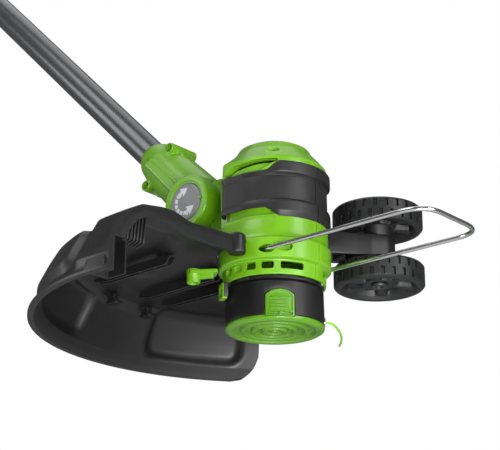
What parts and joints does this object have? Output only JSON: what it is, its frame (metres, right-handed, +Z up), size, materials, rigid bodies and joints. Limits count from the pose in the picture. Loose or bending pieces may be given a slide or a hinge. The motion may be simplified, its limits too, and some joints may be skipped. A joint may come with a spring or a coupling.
{
  "type": "string trimmer",
  "caption": "Cordless grass trimmer: tilting motor head with line spool, debris guard, edging wheels and wire edge guard on a telescoping shaft with two handles.",
  "frame": {"origin": "centre of the line spool cap's flat bottom boss", "axes": "+Z up along the spool and motor axis, +X from the motor towards the front of the wire guard and away from the user, Y across, along the tilt and trigger hinges"},
  "size_m": [1.2802, 0.2866, 1.1514],
  "materials": {
    "green_shell": "satin moulded plastic",
    "black_shell": "fine grained moulded plastic",
    "black_overmould": "soft satin overmould",
    "guard_plastic": "satin moulded plastic",
    "wheel_plastic": "grained moulded plastic",
    "cap_plastic": "satin moulded plastic",
    "button_grey": "printed grey face",
    "bright_steel": "bright",
    "wire_steel": "bright plated wire",
    "tube_paint": "satin anodised",
    "nylon_line": "extruded nylon",
    "lead_rubber": "matte"
  },
  "bodies": {
    "handle": {"upper_tube": "tube_paint", "clamp_body": "black_shell", "lever_pin": "bright_steel", "aux_clamp": "black_shell", "aux_bolt": "bright_steel", "handle_left": "green_shell", "handle_right": "green_shell", "trigger_switch": "black_shell", "terminal_block": "black_shell"},
    "coupler": {"coupler_plug": "black_shell"},
    "shaft": {"lower_tube": "tube_paint", "lead_in_tube": "lead_rubber", "collar_left": "green_shell", "collar_right": "green_shell", "tilt_axle": "bright_steel", "collar_screw_1": "bright_steel", "collar_screw_2": "bright_steel"},
    "tilt_button": {"tilt_button": "button_grey"},
    "head": {"housing_left": "green_shell", "housing_right": "green_shell", "band_left": "black_overmould", "band_right": "black_overmould", "motor_can": "bright_steel", "motor_plate": "black_shell", "guard": "guard_plastic", "cutter_blade": "bright_steel", "blade_screw_1": "bright_steel", "blade_screw_2": "bright_steel", "guard_bracket": "green_shell", "guard_screw": "bright_steel", "skirt_tab": "green_shell", "skirt_tab_plate": "bright_steel", "wheel_bracket": "black_shell", "wheel_axle": "bright_steel"},
    "wheel_lower": {"wheel_lower": "wheel_plastic"},
    "wheel_upper": {"wheel_upper": "wheel_plastic"},
    "wire_guard": {"wire_guard": "wire_steel"},
    "spool": {"spool_housing": "black_shell", "fan_disc": "black_shell", "spool_hub": "black_shell", "drive_shaft": "bright_steel", "line_eyelet": "bright_steel", "cutting_line": "nylon_line"},
    "bobbin": {"bobbin": "black_shell", "wound_line": "nylon_line", "spool_spring": "bright_steel"},
    "spool_cap": {"spool_cap": "cap_plastic"},
    "cap_latch_near": {"cap_latch_near": "cap_plastic"},
    "cap_latch_far": {"cap_latch_far": "cap_plastic"},
    "clamp_lever": {"clamp_lever": "green_shell"},
    "aux_handle": {"aux_handle": "black_shell"},
    "aux_knob": {"aux_knob": "black_shell"},
    "trigger": {"trigger": "black_shell"},
    "lock_off_button": {"lock_off_button": "black_shell"},
    "battery": {"battery_pack": "black_shell"},
    "battery_latch": {"battery_latch": "green_shell"}
  },
  "joints": [
    {"name": "telescope_slide", "type": "slide", "parent": "handle", "child": "coupler", "axis": [-0.7133, 0, 0.7009], "range_m": [-0.06, 0.12]},
    {"name": "shaft_twist", "type": "hinge", "parent": "coupler", "child": "shaft", "pos_m": [-0.48855, 0, 0.52365], "axis": [-0.7133, 0, 0.7009], "range_deg": [0, 180]},
    {"name": "head_tilt", "type": "hinge", "parent": "shaft", "child": "head", "pos_m": [-0.0606, 0, 0.1031], "axis": [0, 1, 0], "range_deg": [-28, 25]},
    {"name": "tilt_button_press", "type": "slide", "parent": "shaft", "child": "tilt_button", "axis": [0, 1, 0], "range_m": [0, 0.003], "stiffness_N_per_m": 900},
    {"name": "wheel_lower_spin", "type": "hinge", "parent": "head", "child": "wheel_lower", "pos_m": [0.03851, 0.07035, 0.048], "axis": [0, 0, 1], "continuous": true},
    {"name": "wheel_upper_spin", "type": "hinge", "parent": "head", "child": "wheel_upper", "pos_m": [0.03851, 0.07035, 0.091], "axis": [0, 0, 1], "continuous": true},
    {"name": "wire_guard_slide", "type": "slide", "parent": "head", "child": "wire_guard", "axis": [-1, 0, 0], "range_m": [0, 0.022]},
    {"name": "spool_spin", "type": "hinge", "parent": "head", "child": "spool", "pos_m": [0, 0, 0.015], "axis": [0, 0, 1], "continuous": true},
    {"name": "bobbin_feed", "type": "hinge", "parent": "spool", "child": "bobbin", "pos_m": [0, 0, 0.018], "axis": [0, 0, 1], "continuous": true},
    {"name": "spool_cap_pull", "type": "slide", "parent": "spool", "child": "spool_cap", "axis": [0, 0, -1], "range_m": [0, 0.03]},
    {"name": "cap_latch_near_press", "type": "slide", "parent": "spool_cap", "child": "cap_latch_near", "axis": [-0.6428, 0.766, 0], "range_m": [0, 0.002], "stiffness_N_per_m": 700},
    {"name": "cap_latch_far_press", "type": "slide", "parent": "spool_cap", "child": "cap_latch_far", "axis": [0.6428, -0.766, 0], "range_m": [0, 0.002], "stiffness_N_per_m": 700},
    {"name": "clamp_lever_turn", "type": "hinge", "parent": "handle", "child": "clamp_lever", "pos_m": [-0.45534, 0, 0.52606], "axis": [0, 1, 0], "range_deg": [0, 95]},
    {"name": "aux_handle_tilt", "type": "hinge", "parent": "handle", "child": "aux_handle", "pos_m": [-0.66653, 0, 0.74201], "axis": [0, 1, 0], "range_deg": [-60, 40]},
    {"name": "aux_knob_turn", "type": "hinge", "parent": "handle", "child": "aux_knob", "pos_m": [-0.66653, 0.027, 0.74201], "axis": [0, 1, 0], "continuous": true},
    {"name": "trigger_pull", "type": "hinge", "parent": "handle", "child": "trigger", "pos_m": [-0.9477, 0, 0.95382], "axis": [0, 1, 0], "range_deg": [0, 9], "stiffness_Nm_per_rad": 1.2},
    {"name": "lock_off_press", "type": "slide", "parent": "handle", "child": "lock_off_button", "axis": [-0.7009, 0, -0.7133], "range_m": [0, 0.003], "stiffness_N_per_m": 600},
    {"name": "battery_slide", "type": "slide", "parent": "handle", "child": "battery", "axis": [-0.7133, 0, 0.7009], "range_m": [0, 0.09]},
    {"name": "battery_latch_press", "type": "slide", "parent": "battery", "child": "battery_latch", "axis": [-0.7009, 0, -0.7133], "range_m": [0, 0.0025], "stiffness_N_per_m": 700}
  ]
}
